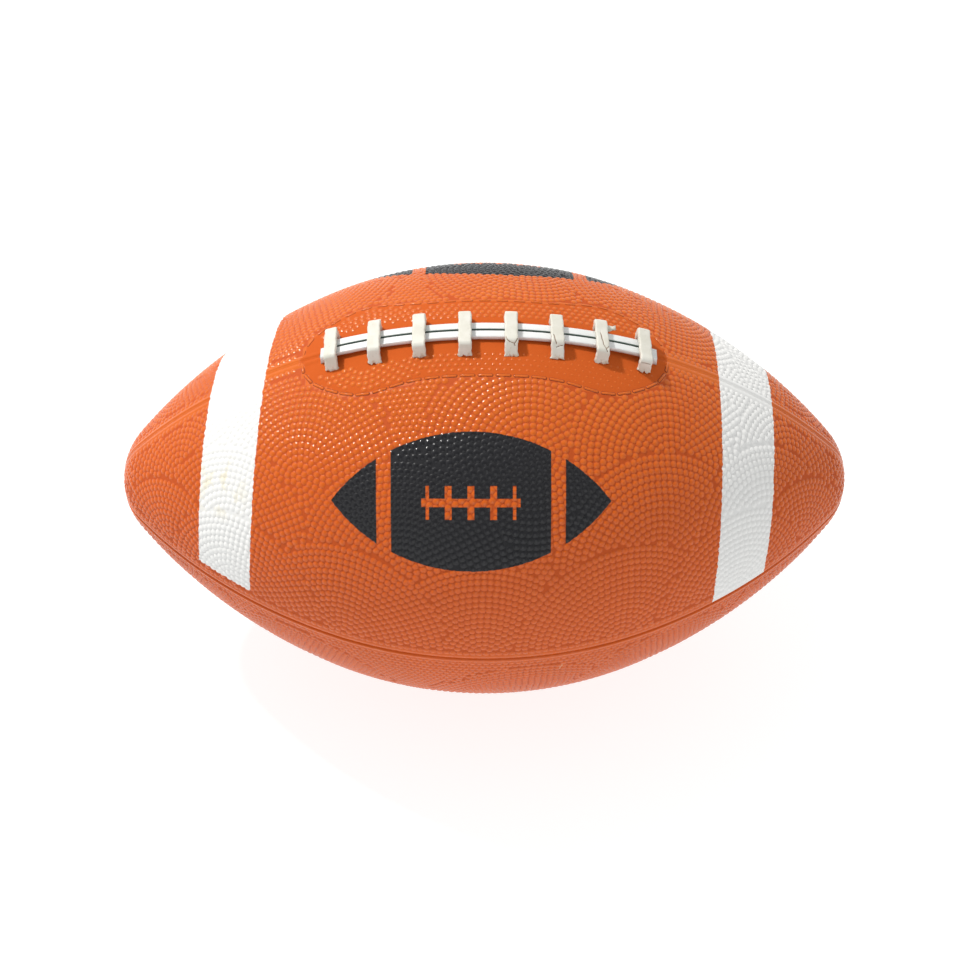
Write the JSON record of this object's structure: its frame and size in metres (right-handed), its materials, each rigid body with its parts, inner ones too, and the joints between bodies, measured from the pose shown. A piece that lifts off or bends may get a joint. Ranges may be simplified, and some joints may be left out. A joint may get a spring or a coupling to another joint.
{
  "type": "american football",
  "caption": "Pointed oval game ball: pebbled rubber cover in quarters over a wound bladder, with raised white lacing on the top seam and a needle valve underneath.",
  "frame": {"origin": "centre of the ball, halfway between the two tips and on the long axis", "axes": "+X along the long axis, +Z out through the middle of the lacing, -Y towards the front"},
  "size_m": [0.286, 0.1706, 0.1753],
  "materials": {
    "cover_rubber": "pebbled, satin, with painted white bands and a black print",
    "carcass_rubber": "matt black",
    "nylon_thread": "wound thread, satin",
    "bladder_butyl": "smooth black",
    "backing_canvas": "rubberised canvas",
    "lace_rail_rubber": "smooth white",
    "lace_crossbar_rubber": "off-white, matt",
    "valve_rubber": "matt black",
    "valve_core_rubber": "soft, red-brown"
  },
  "bodies": {
    "root": {"cover_panel_upper_front": "cover_rubber", "cover_panel_lower_front": "cover_rubber", "cover_panel_lower_back": "cover_rubber", "cover_panel_upper_back": "cover_rubber", "carcass": "carcass_rubber", "nylon_winding": "nylon_thread", "bladder": "bladder_butyl", "lace_backing": "backing_canvas", "lace_rail_front": "lace_rail_rubber", "lace_rail_back": "lace_rail_rubber", "lace_crossbar_1": "lace_crossbar_rubber", "lace_crossbar_2": "lace_crossbar_rubber", "lace_crossbar_3": "lace_crossbar_rubber", "lace_crossbar_4": "lace_crossbar_rubber", "lace_crossbar_5": "lace_crossbar_rubber", "lace_crossbar_6": "lace_crossbar_rubber", "lace_crossbar_7": "lace_crossbar_rubber", "lace_crossbar_8": "lace_crossbar_rubber", "valve_housing": "valve_rubber", "valve_core": "valve_core_rubber", "valve_patch": "valve_rubber"}
  },
  "joints": []
}
